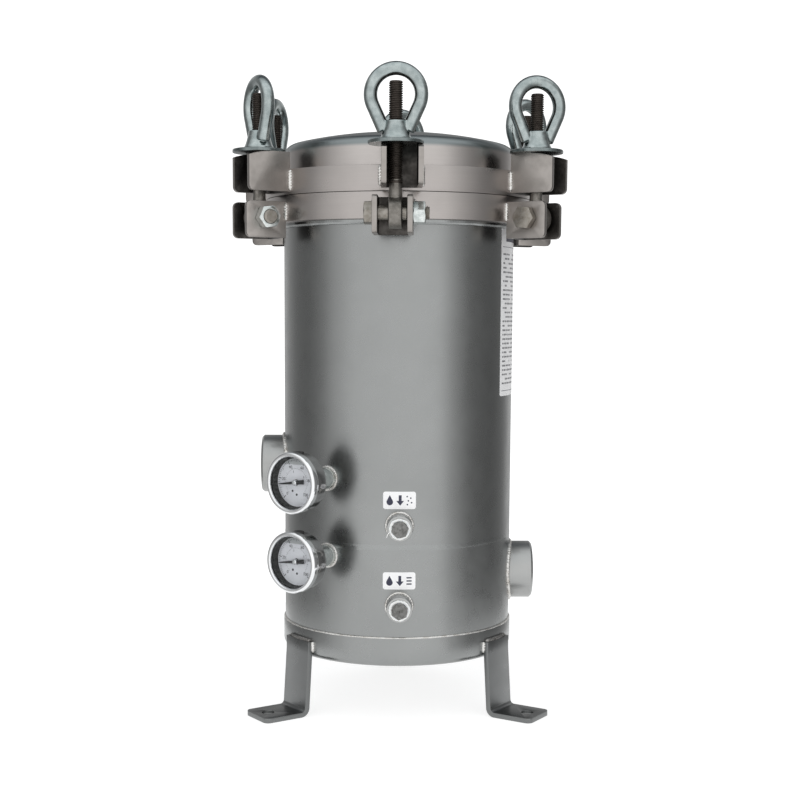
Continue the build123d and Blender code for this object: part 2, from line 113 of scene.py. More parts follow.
# Finishes
class Nodes:
    """A node tree and the kinds of node that it is made from."""

    def __init__(self, tree):
        self.tree = tree

    def node(self, kind, **settings):
        node = self.tree.nodes.new(f"ShaderNode{kind}")
        for key, value in settings.items():
            setattr(node, key, value)
        return node

    def link(self, value, socket):
        """Sets a socket to a number or a colour, or links another node to it."""
        if isinstance(value, (int, float)):
            socket.default_value = value
        elif isinstance(value, tuple):
            socket.default_value = (*value, 1.0)
        else:
            self.tree.links.new(value, socket)

    def split(self, vector):
        """The X, Y and Z of a vector."""
        node = self.node("SeparateXYZ")
        self.link(vector, node.inputs[0])
        return node.outputs

    def remap(self, value, from_low, from_high, to_low=0.0, to_high=1.0):
        node = self.node("MapRange")
        for socket, number in zip(node.inputs, (value, from_low, from_high, to_low, to_high)):
            self.link(number, socket)
        return node.outputs["Result"]

    def math(self, operation, first, second=0.0):
        node = self.node("Math", operation=operation)
        self.link(first, node.inputs[0])
        self.link(second, node.inputs[1])
        return node.outputs[0]

    def mix(self, factor, first, second):
        """Mixes two colours, each a colour or another mix."""
        node = self.node("Mix", data_type="RGBA")
        self.link(factor, node.inputs["Factor"])
        self.link(first, node.inputs[6])
        self.link(second, node.inputs[7])
        return node.outputs[2]


class Finish(Nodes):
    """A material, with its patterns in millimetres."""

    def __init__(self, name):
        self.material = bpy.data.materials.new(name)
        self.material.use_nodes = True
        super().__init__(self.material.node_tree)
        self.shader = self.tree.nodes["Principled BSDF"]
        self.place = self.node("TexCoord").outputs["Object"]
        self.place = self.stretched(1 / mm, 1 / mm, 1 / mm)

    def set(self, **sockets):
        for socket, value in sockets.items():
            self.shader.inputs[socket.replace("_", " ")].default_value = value

    def stretched(self, x, y, z):
        """The pattern's place, with each axis scaled by its own factor."""
        node = self.node("VectorMath", operation="MULTIPLY")
        node.inputs[1].default_value = (x, y, z)
        self.link(self.place, node.inputs[0])
        return node.outputs[0]

    def noise(self, size, detail=2.0, roughness=0.5, place=None):
        """Noise whose features are about this many millimetres across."""
        node = self.node("TexNoise")
        for key, value in (("Vector", place or self.place), ("Scale", 1.0 / size), ("Detail", detail),
                           ("Roughness", roughness)):
            self.link(value, node.inputs[key])
        return node.outputs["Fac"]

    def clouds(self, size, start, end, to_low=0.0, to_high=1.0, **settings):
        """Noise, with its values from start to end taken to a range."""
        return self.remap(self.noise(size, **settings), start, end, to_low, to_high)

    def cells(self, size):
        node = self.node("TexVoronoi")
        self.link(1.0 / size, node.inputs["Scale"])
        self.link(self.place, node.inputs["Vector"])
        return node.outputs["Distance"]

    def colour(self, value):
        self.link(value, self.shader.inputs["Base Color"])

    def roughness(self, value):
        self.link(value, self.shader.inputs["Roughness"])

    def gloss(self, size, smoothest, roughest, detail=3.0):
        """Roughness that drifts between two values."""
        self.roughness(self.clouds(size, 0.3, 0.7, smoothest, roughest, detail=detail))

    def bump(self, height, depth):
        """Relief this many millimetres deep."""
        node = self.node("Bump")
        self.link(depth * mm, node.inputs["Distance"])
        self.link(height, node.inputs["Height"])
        self.link(node.outputs[0], self.shader.inputs["Normal"])


def shaded(tint, share):
    return tuple(c * share for c in tint)


def blasted(finish, tint, rough, grain):
    """Bead-blasted stainless: an even satin skin with faint clouds, handling marks and specks."""
    finish.set(Metallic=1.0)
    base = finish.mix(finish.clouds(45.0, 0.3, 0.7, detail=4.0), shaded(tint, 0.96), shaded(tint, 1.03))
    specks = finish.remap(finish.cells(7.0), 0.03, 0.05, 0.12, 0.0)
    finish.colour(finish.mix(specks, base, (0.85, 0.85, 0.83)))
    finish.gloss(18.0, rough - 0.03, rough + 0.04)
    finish.bump(finish.noise(1.3, detail=3.0, roughness=0.7), grain)


def machined(finish, tint, rough, above=None, crown=None):
    """Turned stainless: fine rings from the lathe on an uneven skin. A crown above a height may be painted darker,
    as painted shade.
    """
    finish.set(Metallic=1.0)
    x, y, z = finish.split(finish.place)
    radius = finish.node("VectorMath", operation="LENGTH")
    finish.link(finish.stretched(1.0, 1.0, 0.0), radius.inputs[0])
    lathe = finish.node("CombineXYZ")
    drifts = [finish.math("MULTIPLY", value, 0.012) for value in (x, y)]
    for value, socket in zip((*drifts, finish.math("ADD", radius.outputs["Value"], z)), lathe.inputs):
        finish.link(value, socket)
    rings = finish.noise(0.55, detail=3.0, place=lathe.outputs[0])
    clouds = finish.noise(30.0, detail=3.0)
    base = finish.mix(finish.remap(rings, 0.25, 0.75), shaded(tint, 0.97), shaded(tint, 1.03))
    base = finish.mix(finish.remap(clouds, 0.4, 0.75, 0.0, 0.25), base, shaded(tint, 0.8))
    # Painted shade: above the given height the colour goes to the darker crown colour.
    if above:
        base = finish.mix(finish.remap(z, above - 0.5, above + 2.5), base, crown)
    finish.colour(base)
    finish.roughness(finish.remap(clouds, 0.3, 0.7, rough - 0.03, rough + 0.04))
    finish.bump(rings, 0.004)


def zinc(finish, tint, dark, rough, spangle=6.0):
    """Zinc plate: cool, slightly blotchy, with darker passivation in the clouds."""
    finish.set(Metallic=1.0)
    base = finish.mix(finish.clouds(spangle, 0.35, 0.68, detail=5.0, roughness=0.6), dark, tint)
    finish.colour(finish.mix(finish.clouds(spangle * 3.5, 0.5, 0.7, 0.0, 0.4), base, shaded(dark, 0.75)))
    finish.gloss(3.0, rough - 0.07, rough + 0.1, detail=4.0)
    finish.bump(finish.noise(2.4, detail=3.0), 0.025)


def oiled_steel(finish, tint, dark, rough):
    """Dark oiled steel with a brown bloom and dry, lighter patches."""
    finish.set(Metallic=0.85)
    finish.colour(finish.mix(finish.clouds(5.0, 0.35, 0.7, detail=5.0, roughness=0.65), dark, tint))
    finish.gloss(2.0, rough - 0.08, rough + 0.12, detail=4.0)
    finish.bump(finish.noise(0.8, detail=4.0), 0.03)


def polished(finish, bright, dull):
    """Chrome plate, with faint wiping marks in its gloss."""
    finish.set(Metallic=1.0)
    wipes = finish.noise(9.0, detail=6.0, roughness=0.7, place=finish.stretched(1.0, 1.0, 0.35))
    finish.roughness(finish.remap(wipes, 0.35, 0.7, 0.05, 0.13))
    finish.colour(finish.mix(finish.remap(wipes, 0.4, 0.8), bright, dull))


def bead_metal(finish, tint, heat):
    """Weld metal: bright, with straw and grey heat colour in patches."""
    finish.set(Metallic=1.0)
    finish.colour(finish.mix(finish.clouds(6.0, 0.45, 0.7, 0.0, 0.7, detail=3.0), tint, heat))
    finish.gloss(1.5, 0.22, 0.36)
    finish.bump(finish.noise(0.9), 0.04)


def plain(finish, tint, shade, size, rough, depth, metallic=0.0, coat=0.0):
    """A finish with two close colours in clouds and a fine relief."""
    finish.set(Metallic=metallic, Coat_Weight=coat)
    finish.colour(finish.mix(finish.clouds(size, 0.35, 0.7, detail=4.0), tint, shade))
    finish.gloss(size / 2, rough - 0.05, rough + 0.05)
    finish.bump(finish.noise(size / 6, detail=3.0), depth)


def channel_steel(finish, tint, shade, azimuth, half_slot):
    """Bent plate whose channels are painted dark inside, as painted shade. Six channels start at an azimuth."""
    finish.set(Metallic=1.0)
    x, y, _ = finish.split(finish.place)
    turn = finish.math("ARCTAN2", x, finish.math("MULTIPLY", y, -1.0))
    off_middle = finish.math("PINGPONG", finish.math("ADD", turn, 2 * pi - azimuth), pi / 6)
    squares = finish.math("ADD", finish.math("MULTIPLY", x, x), finish.math("MULTIPLY", y, y))
    across = finish.math("MULTIPLY", finish.math("SINE", off_middle), finish.math("SQRT", squares))
    # Painted shade: the inside of each channel is painted near black, a little uneven in strength.
    inside = finish.remap(across, half_slot + 0.25, half_slot + 0.45, 1.0, 0.0)
    shade_strength = finish.clouds(6.0, 0.2, 0.8, 0.80, 1.0, detail=3.0)
    plate_colour = finish.mix(finish.clouds(12.0, 0.35, 0.7, detail=4.0), tint, shade)
    finish.colour(finish.mix(finish.math("MULTIPLY", inside, shade_strength), plate_colour, (0.022, 0.020, 0.018)))
    finish.gloss(6.0, 0.33, 0.43)
    finish.bump(finish.noise(1.6, detail=3.0), 0.03)


def dial_enamel(finish):
    """A pale dial behind its damping liquid, which stops short of the top of the case. Above the liquid line the
    dial is painted darker, as painted shade.
    """
    finish.set(Coat_Weight=0.3)
    z = finish.split(finish.place)["Z"]
    base = finish.mix(finish.clouds(9.0, 0.3, 0.7, detail=3.0), (0.66, 0.66, 0.70), (0.72, 0.72, 0.76))
    for chamber in chambers:
        centre = joints[f"{chamber}_gauge_needle_turn"]["pos_m"][2] / mm
        # Painted shade: a darker band on the dial above the liquid line.
        above = finish.remap(z, centre + 16.2, centre + 17.0)
        below = finish.remap(z, centre + 30.0, centre + 31.0, 1.0, 0.0)
        base = finish.mix(finish.math("MULTIPLY", above, below), base, (0.40, 0.41, 0.42))
    finish.colour(base)
    finish.gloss(4.0, 0.35, 0.45, detail=2.0)
    finish.bump(finish.noise(0.7), 0.004)


def clear_glass(finish):
    finish.set(Transmission_Weight=1.0, IOR=1.2)
    haze = finish.noise(14.0, detail=4.0)
    finish.roughness(finish.remap(haze, 0.4, 0.8, 0.01, 0.05))
    finish.colour(finish.mix(haze, (0.97, 0.98, 0.98), (0.93, 0.95, 0.95)))


def wound_tape(finish):
    """Sealing tape: soft white film, milky, with the edges of its turns showing."""
    finish.set(Subsurface_Weight=0.05)
    turns = finish.noise(0.7, detail=3.0, place=finish.stretched(0.25, 1.0, 0.25))
    finish.colour(finish.mix(finish.remap(turns, 0.3, 0.7), (0.88, 0.88, 0.87), (0.96, 0.96, 0.95)))
    finish.roughness(finish.remap(turns, 0.3, 0.7, 0.4, 0.6))
    finish.bump(turns, 0.12)


lug_tints = (0.38, 0.355, 0.335), (0.31, 0.29, 0.272)
recipes = {
    "blasted_stainless": (blasted, (0.302, 0.310, 0.308), 0.28, 0.01),
    "shell_band": (blasted, (0.312, 0.322, 0.320), 0.26, 0.01),
    "ring_stainless": (machined, (0.42, 0.393, 0.378), 0.30),
    # Painted shade: the dome's crown is painted darker and cooler than its skirt.
    "dome_stainless": (machined, (0.475, 0.447, 0.431), 0.30, skirt_top, (0.24, 0.265, 0.27)),
    "leg_stainless": (blasted, (0.185, 0.19, 0.19), 0.30, 0.02),
    # Both lug finishes carry painted shade inside their channels.
    "body_lug_steel": (channel_steel, *lug_tints, body_lug_azimuth, body_lug_half - lug_leg),
    "lid_lug_steel": (channel_steel, *lug_tints, 0.0, lid_lug_half - lug_leg),
    "coupling_stainless": (blasted, (0.40, 0.405, 0.40), 0.34, 0.012),
    "weld_bead": (bead_metal, (0.72, 0.71, 0.69), (0.42, 0.39, 0.35)),
    "dark_bead": (bead_metal, (0.30, 0.29, 0.28), (0.17, 0.16, 0.15)),
    "galvanised_steel": (zinc, (0.46, 0.51, 0.505), (0.29, 0.335, 0.335), 0.15),
    "washer_zinc": (zinc, (0.27, 0.30, 0.30), (0.17, 0.20, 0.20), 0.24),
    "bright_zinc": (zinc, (0.74, 0.77, 0.76), (0.5, 0.54, 0.53), 0.15, 4.0),
    "dull_steel": (zinc, (0.36, 0.34, 0.31), (0.24, 0.22, 0.19), 0.34, 4.0),
    "plug_steel": (zinc, (0.25, 0.25, 0.245), (0.12, 0.12, 0.115), 0.30, 3.0),
    "dark_steel": (oiled_steel, (0.10, 0.085, 0.074), (0.055, 0.046, 0.04), 0.45),
    "forged_steel": (oiled_steel, (0.26, 0.245, 0.225), (0.15, 0.14, 0.125), 0.34),
    "gasket_rubber": (plain, (0.018, 0.018, 0.018), (0.03, 0.03, 0.03), 3.0, 0.6, 0.03),
    "brass": (plain, (0.70, 0.64, 0.50), (0.60, 0.53, 0.39), 6.0, 0.25, 0.01, 1.0),
    "filter_paper": (plain, (0.86, 0.85, 0.80), (0.78, 0.77, 0.72), 2.5, 0.85, 0.08),
    "cap_plastic": (plain, (0.05, 0.12, 0.28), (0.06, 0.14, 0.32), 5.0, 0.4, 0.02),
    "chrome": (polished, (0.86, 0.87, 0.88), (0.78, 0.79, 0.80)),
    "case_chrome": (polished, (0.44, 0.44, 0.44), (0.33, 0.33, 0.33)),
    "gauge_glass": (clear_glass,),
    "dial_enamel": (dial_enamel,),
    "needle_black": (plain, (0.012, 0.012, 0.014), (0.02, 0.02, 0.022), 3.0, 0.4, 0.005),
    "dial_ink": (plain, (0.03, 0.03, 0.035), (0.05, 0.05, 0.055), 3.0, 0.5, 0.004),
    "seal_tape": (wound_tape,),
    "label_vinyl": (plain, (0.93, 0.93, 0.935), (0.90, 0.90, 0.91), 14.0, 0.32, 0.004, 0.0, 0.4),
    "label_ink": (plain, (0.02, 0.022, 0.05), (0.03, 0.032, 0.065), 4.0, 0.4, 0.003),
    "label_grey": (plain, (0.22, 0.22, 0.23), (0.28, 0.28, 0.29), 4.0, 0.45, 0.003),
}
finishes = {name: Finish(name) for name in recipes}
for name, (make, *settings) in recipes.items():
    make(finishes[name], *settings)


# Making pieces
def added(name, mesh):
    piece = bpy.data.objects.new(name, mesh)
    bpy.context.scene.collection.objects.link(piece)
    return piece


def smooth(mesh, sharp=35.0):
    mesh.polygons.foreach_set("use_smooth", [True] * len(mesh.polygons))
    mesh.set_sharp_from_angle(angle=radians(sharp))


def shape(name, parts, matrix, sharp=35.0):
    """A mesh object from lists of (points, faces) in a local frame."""
    bm = bmesh.new()
    for points, faces in parts:
        corners = [bm.verts.new(matrix @ Vector(p)) for p in points]
        for face in faces:
            bm.faces.new([corners[i] for i in face])
    bmesh.ops.remove_doubles(bm, verts=bm.verts, dist=1e-7)
    bmesh.ops.recalc_face_normals(bm, faces=bm.faces)
    mesh = bpy.data.meshes.new(name)
    bm.to_mesh(mesh)
    bm.free()
    smooth(mesh, sharp)
    return added(name, mesh)


def finished(piece, finish, body, *replaced):
    """Gives a piece its finish, slot and body, and hides the CAD parts that it stands for."""
    piece.data.materials.clear()
    piece.data.materials.append(finishes[finish].material)
    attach(piece, body)
    if replaced:
        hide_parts(*replaced)
    return piece


def built(name, parts, matrix, finish, body="vessel", *replaced, sharp=35.0):
    """A finished piece from parts in a local frame."""
    return finished(shape(name, parts, matrix, sharp), finish, body, *replaced)


def modified(piece, kind, **settings):
    """Takes a modifier into a piece's mesh."""
    modifier = piece.modifiers.new(kind, kind)
    for key, value in settings.items():
        setattr(modifier, key, value)
    graph = bpy.context.evaluated_depsgraph_get()
    mesh = bpy.data.meshes.new_from_object(piece.evaluated_get(graph))
    piece.modifiers.clear()
    piece.data = mesh


def softened(node, finish, body, width):
    """Stands for a CAD node, with its corners broken by a small round."""
    bm = bmesh.new()
    bm.from_mesh(nodes[node].data)
    bmesh.ops.remove_doubles(bm, verts=bm.verts, dist=2e-6)
    bmesh.ops.dissolve_limit(bm, angle_limit=radians(0.6), verts=bm.verts, edges=bm.edges)
    corners = [e for e in bm.edges if e.is_manifold and e.calc_face_angle(0) > radians(30)]
    bmesh.ops.bevel(bm, geom=corners, offset=width * mm, segments=2, profile=0.5, affect="EDGES",
                    clamp_overlap=True)
    mesh = bpy.data.meshes.new(f"{node}_soft")
    bm.to_mesh(mesh)
    bm.free()
    if "custom_normal" in mesh.attributes:
        mesh.attributes.remove(mesh.attributes["custom_normal"])
    smooth(mesh)
    finished(added(f"{node}_soft", mesh), finish, body, node)


def skin(loops, closed=False, caps=True):
    """Faces between successive rings of points. Closed joins the last ring to the first."""
    count = len(loops[0])
    points = [p for loop in loops for p in loop]
    faces = []
    for j in range(len(loops) if closed else len(loops) - 1):
        here, there = j * count, (j + 1) % len(loops) * count
        for i in range(count):
            k = (i + 1) % count
            faces.append((here + i, here + k, there + k, there + i))
    if caps and not closed:
        faces.append(tuple(reversed(range(count))))
        faces.append(tuple(range(len(points) - count, len(points))))
    return points, faces


def angles(count):
    return [2 * pi * i / count for i in range(count)]


def circle(r, z, count):
    return [(r * cos(a), r * sin(a), z) for a in angles(count)]


def disc(r, z, count):
    return circle(r, z, count), [tuple(range(count))]


def turned(profile, count=48, closed=False):
    """A solid, or a closed ring, turned about local Z from (radius, height) points."""
    return skin([circle(r, z, count) for r, z in profile], closed=closed)


def lying(profile, count):
    """A solid turned about local X from (place along it, radius) points."""
    return skin([[(x, r * cos(a), r * sin(a)) for a in angles(count)] for x, r in profile])


def arc(centre, r, start, end, steps):
    """Points on an arc in the (radius, height) plane, with angles in degrees."""
    turns = [radians(start + (end - start) * i / steps) for i in range(steps + 1)]
    return [(centre[0] + r * cos(a), centre[1] + r * sin(a)) for a in turns]


def hexagon(flats, z_low, z_high, bore_r, low_chamfer=True, high_chamfer=True):
    """A hexagon nut or head: its chamfers cut the corners in the usual curved way."""
    count, edge = 120, 0.5
    corner_r = flats / sqrt(3) * 0.985
    land_r = flats / 2 * 0.96
    slope = tan(radians(27))

    def side(z, way):
        loop = []
        for a in angles(count):
            r = min(flats / 2 / cos(a % (pi / 3) - pi / 6), corner_r)
            loop.append((r * cos(a), r * sin(a), z + way * (r - land_r) * slope))
        return loop

    return skin([circle(bore_r + edge, z_low, count), circle(land_r, z_low, count),
                 side(z_low, 1 if low_chamfer else 0), side(z_high, -1 if high_chamfer else 0),
                 circle(land_r, z_high, count), circle(bore_r + edge, z_high, count),
                 circle(bore_r, z_high - edge, count), circle(bore_r, z_low + edge, count)], closed=True)


thread_share = 0.58         # a thread's depth, as a share of its pitch


def screw_thread(crest_r, pitch, z_low, z_high, count=40, inside=False):
    """A rod, or the wall of a hole, with a helical 60-degree thread that fades out at its lower end."""
    depth = thread_share * pitch * (-1 if inside else 1)
    levels = (0.0, 0.0, 0.5, 1.0, 1.0, 0.5)
    turn_rows = len(levels)
    runout = 2.0 * pitch
    loops = []
    for j in range(-turn_rows, int((z_high - z_low) / pitch + 2) * turn_rows + 1):
        loop = []
        for i, a in enumerate(angles(count)):
            z = min(max(z_low + (j / turn_rows + i / count) * pitch, z_low), z_high)
            r = crest_r - depth * levels[j % turn_rows] * min(1.0, (z - z_low) / runout)
            if inside:
                r = max(r, crest_r - depth - (z_high - z))
            else:
                r = min(r, crest_r - depth + (z_high - z))
            if z in (z_low, z_high):
                r = crest_r if z == z_low else crest_r - depth
            loop.append((r * cos(a), r * sin(a), z))
        loops.append(loop)
    faces = []
    for j in range(len(loops) - 1):
        first = j * count
        faces += [(i, i + 1, i + count + 1, i + count) for i in range(first, first + count - 1)]
        if j + turn_rows + 1 < len(loops):
            last, wrap = first + count - 1, first + turn_rows * count
            faces.append((last, wrap, wrap + count, last + count))
    return [p for loop in loops for p in loop], faces


def sweep(path, radius_at, count=10, closed=False, flat=1.0):
    """A tube along a path. radius_at takes the distance along it and the angle round it."""
    spots = [Vector(p) for p in path]
    total = len(spots)
    side = None
    run = 0.0
    loops = []
    for n, spot in enumerate(spots):
        before = spots[n - 1] if closed or n else spot
        after = spots[(n + 1) % total] if closed or n < total - 1 else spot
        along = (after - before).normalized()
        side = side or along.orthogonal()
        side = (side - along * side.dot(along)).normalized()
        up = along.cross(side) * flat
        if n:
            run += (spot - spots[n - 1]).length
        loops.append([spot + (side * cos(a) + up * sin(a)) * radius_at(run, a) for a in angles(count)])
    return skin(loops, closed=closed)


def spaced(line, step):
    """Points about a step apart along a line of points."""
    spots = [Vector(p) for p in line]
    out = [spots[0]]
    for start, end in zip(spots, spots[1:]):
        pieces = max(1, round((end - start).length / step))
        out += [start.lerp(end, i / pieces) for i in range(1, pieces + 1)]
    return out


def weld(path, r, pitch=2.2, closed=False, rough=0.12):
    """A weld bead: overlapping ripples, a little uneven, that taper off at open ends."""
    path = spaced(list(path) + ([path[0]] if closed else []), pitch / 4)
    if closed:
        path = path[:-1]
    length = len(path) * pitch / 4
    wander = [random.uniform(0, 2 * pi) for _ in range(3)]

    def radius_at(run, angle):
        ripple = abs(sin(pi * (run / pitch + 0.25 * cos(angle))))
        uneven = sum(sin(run / scale + wander[k]) for k, scale in enumerate((3.1, 7.7, 19.0))) / 3
        end = 1.0 if closed else min(1.0, 0.35 + min(run, length - run) / (1.5 * r))
        return r * end * (1 - rough + rough * ripple + 0.10 * uneven)

    return sweep(path, radius_at, closed=closed)


def forged(name, parts, voxel, passes, hole):
    """Overlapping parts run together into one forging, with a crisp bored hole."""
    piece = shape(name, parts, to_metres)
    modified(piece, "REMESH", mode="VOXEL", voxel_size=voxel * mm)
    modified(piece, "SMOOTH", factor=0.5, iterations=passes)
    cutter = shape(f"{name}_cutter", [hole], to_metres)
    modified(piece, "BOOLEAN", operation="DIFFERENCE", solver="EXACT", object=cutter)
    bpy.data.objects.remove(cutter)
    smooth(piece.data, 40.0)
    return piece


def copied(form, name, matrix):
    """Another of the same forging, placed by a local frame."""
    twin = added(name, form.data.copy())
    twin.data.transform(matrix @ Matrix.Scale(1 / mm, 4))
    return twin


# Vessel
def cad_finishes():
    """The CAD pieces that keep their shape."""
    for finish, *names in (("blasted_stainless", "upper_shell", "lower_shell", "tube_sheet", "cartridge_core",
                            "outlet_spigot", "tie_rod"), ("dome_stainless", "lid_dome"),
                           ("gasket_rubber", "lid_gasket"), ("filter_paper", "cartridge_media"),
                           ("cap_plastic", "cartridge_end_caps", "tie_nut")):
        for name in names:
            nodes[name].data.materials[0] = finishes[finish].material


def softened_nodes():
    """The CAD pieces that only need their corners broken."""
    for finish, body, width, *names in (
            ("blasted_stainless", "vessel", 0.5, "base_cap"), ("body_lug_steel", "vessel", 0.5, "body_lugs"),
            ("ring_stainless", "vessel", 0.45, "body_flange"), ("ring_stainless", "lid", 0.45, "lid_ring"),
            ("lid_lug_steel", "lid", 0.5, "lid_lugs"), ("bright_zinc", "vessel", 0.4, "gauge_couplings"),
            ("coupling_stainless", "vessel", 0.5, "inlet_coupling", "outlet_coupling", "drain_couplings"),
            ("leg_stainless", "vessel", 0.45, *(f"leg_{side}" for side in leg_sides))):
        for name in names:
            softened(name, finish, body, width)


def seam_band():
    """The dressed weld between the shells: a shallow ripple, nearly ground flush."""
    count, width, rise = 360, 5.0, 0.22
    loops = []
    for share in (-1.0, -0.75, -0.4, 0.0, 0.4, 0.75, 1.0):
        loop = []
        for a in angles(count):
            wander = 0.35 * sin(7 * a) + 0.25 * sin(17 * a + 1) + 0.2 * sin(41 * a + 2)
            r = shell_r + rise * (1 - share * share) * (0.8 + 0.2 * sin(90 * a + 3 * share))
            loop.append((r * cos(a), r * sin(a), seam_z + share * width / 2 + wander / 2))
        loops.append(loop)
    inner_r = shell_r - 0.3
    loops += [circle(inner_r, seam_z + width / 2, count), circle(inner_r, seam_z - width / 2, count)]
    built("seam_weld", [skin(loops, closed=True)], to_metres, "shell_band")


def vessel_welds():
    seam_band()
    for name, r, z, bead_r, pitch, rough, finish, body in (
            ("flange", shell_r + 0.4, flange_z - 0.4, 3.6, 2.6, 0.01, "shell_band", "vessel"),
            ("cap", shell_r + 0.2, cap_top + 0.1, 1.25, 1.8, 0.12, "weld_bead", "vessel"),
            ("lid", shell_r + 0.3, lid_ring_top + 0.1, 1.7, 2.2, 0.12, "weld_bead", "lid")):
        bead = weld(circle(r, z, 240), bead_r, pitch=pitch, closed=True, rough=rough)
        built(f"{name}_weld", [bead], to_metres, finish, body)


leg_half_width = 20.5
leg_weld_low = floor_gap + 6.5
leg_weld_top = floor_gap + 17.0


def leg_welds():
    for side in leg_sides:
        mount = mounts[f"foot_{side}_hole"]["pos_m"]
        x, y = leg_half_width + 0.3, -sqrt(cap_r ** 2 - leg_half_width ** 2) - 0.6
        beads = [weld([(s * x, y, z) for z in (leg_weld_low, leg_weld_top)], 2.3, pitch=2.4) for s in (-1, 1)]
        here = around(90 + degrees(direction(mount)))
        built(f"leg_{side}_side_welds", beads, here, "weld_bead")
        line = [(u, -sqrt(cap_r ** 2 - u * u) - 1.2, leg_weld_top + 0.4)
                for u in [leg_half_width * (i / 10 - 1) for i in range(1, 20)]]
        bead = weld(line, 2.5, pitch=2.8, rough=0.2)
        built(f"leg_{side}_top_weld", [bead], here, "dark_bead")


def lug_welds():
    gap = 1.2
    for name, half, z_low, z_high, azimuth, body in (
            ("body", body_lug_half, max(low("body_lugs").z, flange_z), min(high("body_lugs").z, joint_z),
             degrees(body_lug_azimuth), "vessel"),
            ("lid", lid_lug_half, max(low("lid_lugs").z, lid_z), min(washer_low, lid_ring_top), 0.0, "lid")):
        x, y = half + 0.6, -sqrt(ring_r ** 2 - half ** 2) - 0.4
        for k in bolt_numbers:
            beads = [weld([(s * x, y, z_low + gap), (s * x, y, z_high - gap)], 2.3, pitch=2.6, rough=0.16)
                     for s in (-1, 1)]
            built(f"{name}_lug_welds_{k}", beads, around(azimuth + 60 * (k - 1)), "weld_bead", body)


# Swing bolts, washers and eye nuts
thread_pitch = 25.4 / 13
bolt_r = 6.35
thread_root_r = bolt_r - thread_share * thread_pitch
shank_top = 26.0            # where a swing bolt's thread starts, over its pivot
pin_eye_r = 6.43
barrel_r = 14.0
barrel_half = 6.35
eye_wire_r = 6.15           # the forging's melt and relax take about 0.4 off


def eye_path():
    """The middle line of the pear-shaped loop, from one foot up and over to the other."""
    crown_r, crown_z = 22.7, 40.0
    foot = Vector((10.5, 8.5))
    lean = radians(21.5)
    crown = [(crown_r * cos(a), crown_z + crown_r * sin(a))
             for a in [-lean + (pi + 2 * lean) * i / 40 for i in range(41)]]
    leg = [tuple(foot.lerp(Vector(crown[0]), i / 8)) for i in range(8)]
    return [(x, 0, z) for x, z in leg + crown + [(-x, z) for x, z in reversed(leg)]]


def eye_nut_forging():
    """A lifting eye on a conical hub."""
    loop = sweep(eye_path(), lambda run, angle: eye_wire_r, count=24)
    hub = turned([(0.01, 0.0), (13.6, 0.0), (14.1, 0.5), (14.1, 1.9), (13.2, 3.4), (11.6, 8.0), (10.2, 13.5),
                  (9.6, 16.9), (9.0, 17.3), (0.01, 17.3)], count=72)
    bore_r = bolt_r + 0.1
    bore = turned([(bore_r + 1.2, -1.0), (bore_r + 1.2, 0.0), (bore_r, 1.2), (bore_r, 16.3),
                   (bore_r + 0.9, 17.3), (bore_r + 0.9, 19.0)], count=64)
    return forged("eye_nut_form", [loop, hub], 0.62, 6, bore)


def bolt_eye_forging():
    """The lower end of a swing bolt: a flat round eye that runs into the shank."""
    edge = 0.9
    eye = lying([(-barrel_half, 0.01), (-barrel_half, barrel_r - edge), (edge - barrel_half, barrel_r),
                 (barrel_half - edge, barrel_r), (barrel_half, barrel_r - edge), (barrel_half, 0.01)], 72)
    shank = turned([(6.2, 4.0), (6.2, 11.0), (6.25, 15.5), (6.0, 20.0), (5.9, 30.0)])
    hole = lying([(-9.0, pin_eye_r + 2.6), (0.7 - barrel_half, pin_eye_r), (barrel_half - 0.7, pin_eye_r),
                  (9.0, pin_eye_r + 2.6)], 64)
    return forged("bolt_eye_form", [eye, shank], 0.6, 5, hole)


def nut_direction(node):
    """How far an eye nut's loop has turned: the long way of its upper part, from above."""
    top = [v.co for v in nodes[node].data.vertices if v.co.z / mm > washer_top + 25]
    middle = sum(top, Vector()) / len(top)
    off = [p - middle for p in top]
    return 0.5 * atan2(2 * sum(p.x * p.y for p in off), sum(p.x ** 2 - p.y ** 2 for p in off))


def swing_bolts():
    nut_form, eye_form = eye_nut_forging(), bolt_eye_forging()
    for k in bolt_numbers:
        swing = joints[f"bolt_{k}_swing"]
        pivot = Vector(swing["pos_m"]) / mm
        here = upright(pivot, direction(swing["axis"]))
        body = f"swing_bolt_{k}_body"
        finished(copied(eye_form, f"swing_bolt_{k}_eye", here), "forged_steel", body, f"swing_bolt_{k}")
        length = high("swing_bolt_1").z - pivot.z
        thread = [screw_thread(bolt_r, thread_pitch, shank_top, length), disc(thread_root_r, length, 40),
                  disc(bolt_r, shank_top, 40)]
        built(f"swing_bolt_{k}_thread", thread, here, "dark_steel", body, sharp=50)
        middle = Vector(joints[f"nut_{k}_turn"]["pos_m"]) / mm
        nut = copied(nut_form, f"eye_nut_{k}_forging", upright(middle, nut_direction(f"eye_nut_{k}")))
        finished(nut, "galvanised_steel", f"eye_nut_{k}_body", f"eye_nut_{k}")
        washer_piece(k, middle)
    for form in (nut_form, eye_form):
        bpy.data.objects.remove(form)


def washer_piece(k, middle):
    """A pressed washer: one edge rolled over by the punch, the other left sharp."""
    r_out, r_in, roll = 25.0, 6.75, 1.1
    thick = washer_top - washer_low
    profile = [(r_in, 0.4), (r_in + 0.4, 0.0), (r_out - 0.3, 0.0), (r_out, 0.3),
               *arc((r_out - roll, thick - roll), roll, 0, 90, 5), (r_in + 0.5, thick), (r_in, thick - 0.5)]
    spot = upright((middle.x, middle.y, washer_low), 0.0)
    built(f"washer_{k}_pressing", [turned(profile, 128, closed=True)], spot, "washer_zinc",
          f"washer_{k}_body", f"washer_{k}")


# Clevis pins and their nuts
flats = 19.05
clevis_half = 18.15
clevis_set_in = 2.2         # the pins lie this far off the line from the vessel's axis
clevis_nut_height = 11.1


